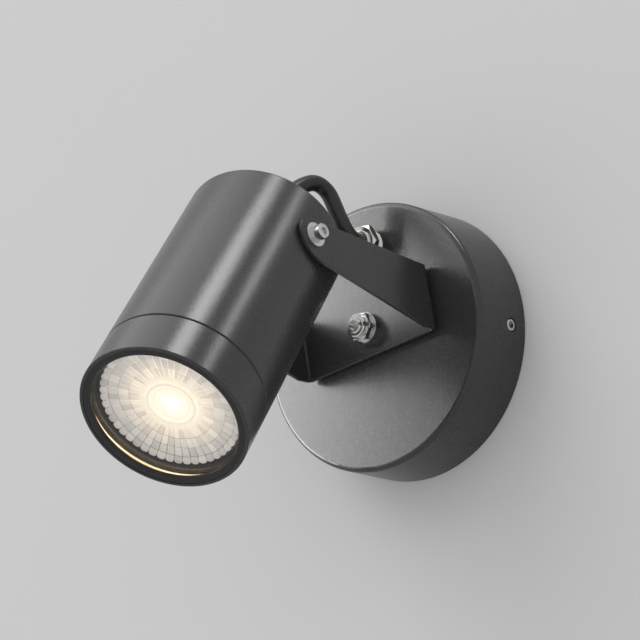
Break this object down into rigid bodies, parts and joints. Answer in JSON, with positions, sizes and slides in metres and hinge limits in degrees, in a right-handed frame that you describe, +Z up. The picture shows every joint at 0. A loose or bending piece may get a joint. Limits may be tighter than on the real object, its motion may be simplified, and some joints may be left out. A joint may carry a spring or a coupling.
{
  "type": "pivoting spotlight wall light",
  "caption": "Wall spotlight: a round canopy, a swivelling U-shaped yoke and a tilting cylindrical head with a screw-on bezel over a pin-base lamp.",
  "frame": {"origin": "centre of the back of the wall gasket, on the wall", "axes": "+Z up, -Y out of the wall, +X to the right of someone who faces the wall"},
  "size_m": [0.1036, 0.1699, 0.1275],
  "materials": {
    "grey_paint": "satin anthracite powder coat",
    "foam": "matt closed-cell foam",
    "zinc_steel": "zinc plated",
    "black_rubber": "matt black",
    "stainless": "bright stainless",
    "white_plastic": "matt white",
    "brass": "plain brass",
    "black_plastic": "gloss black",
    "nickel": "nickel plated",
    "black_cable": "smooth black sheath",
    "white_ceramic": "glazed ceramic",
    "lamp_white": "white lamp body",
    "lens_plastic": "clear faceted polycarbonate",
    "glass": "clear toughened glass"
  },
  "bodies": {
    "wall_unit": {"canopy": "grey_paint", "wall_gasket": "foam", "wall_plate": "zinc_steel", "entry_grommet": "black_rubber", "canopy_grub_screws": "stainless", "terminal_block": "white_plastic", "terminal_screws": "brass", "terminal_block_screw": "zinc_steel", "earth_screw": "brass", "swivel_bolt": "stainless", "swivel_spring_washer": "stainless", "swivel_spacer": "black_plastic", "swivel_flat_washer": "stainless", "swivel_nut": "stainless", "canopy_gland_body": "nickel", "canopy_gland_cap": "nickel", "canopy_gland_seal": "black_rubber", "canopy_gland_locknut": "nickel"},
    "yoke": {"yoke": "grey_paint", "lead": "black_cable"},
    "head": {"head_tube": "grey_paint", "pivot_screws": "stainless", "pivot_flat_washers": "stainless", "pivot_spring_washers": "stainless", "head_oring": "black_rubber", "head_gland_body": "nickel", "head_gland_cap": "nickel", "head_gland_seal": "black_rubber", "head_gland_locknut": "nickel", "holder_strap": "zinc_steel", "strap_screws": "zinc_steel", "holder_screws": "zinc_steel", "lampholder": "white_ceramic", "lamp_body": "lamp_white", "lamp_pins": "nickel", "lamp_lens": "lens_plastic"},
    "bezel": {"bezel": "grey_paint", "front_glass": "glass", "glass_gasket": "black_rubber", "cover_ring": "black_plastic"}
  },
  "joints": [
    {"name": "yoke_swivel", "type": "hinge", "parent": "wall_unit", "child": "yoke", "pos_m": [0, -0.02685, 0.0025], "axis": [0, -1, 0], "range_deg": [-50, 28], "deforming": ["lead"]},
    {"name": "head_tilt", "type": "hinge", "parent": "yoke", "child": "head", "pos_m": [-0.00252, -0.09205, 0.0152], "axis": [0.981, 0, 0.1942], "range_deg": [-50, 40], "deforming": ["lead"]},
    {"name": "bezel_turn", "type": "hinge", "parent": "head", "child": "bezel", "pos_m": [-0.00252, -0.09205, 0.0152], "axis": [0.1488, -0.6428, -0.7515], "continuous": true}
  ]
}
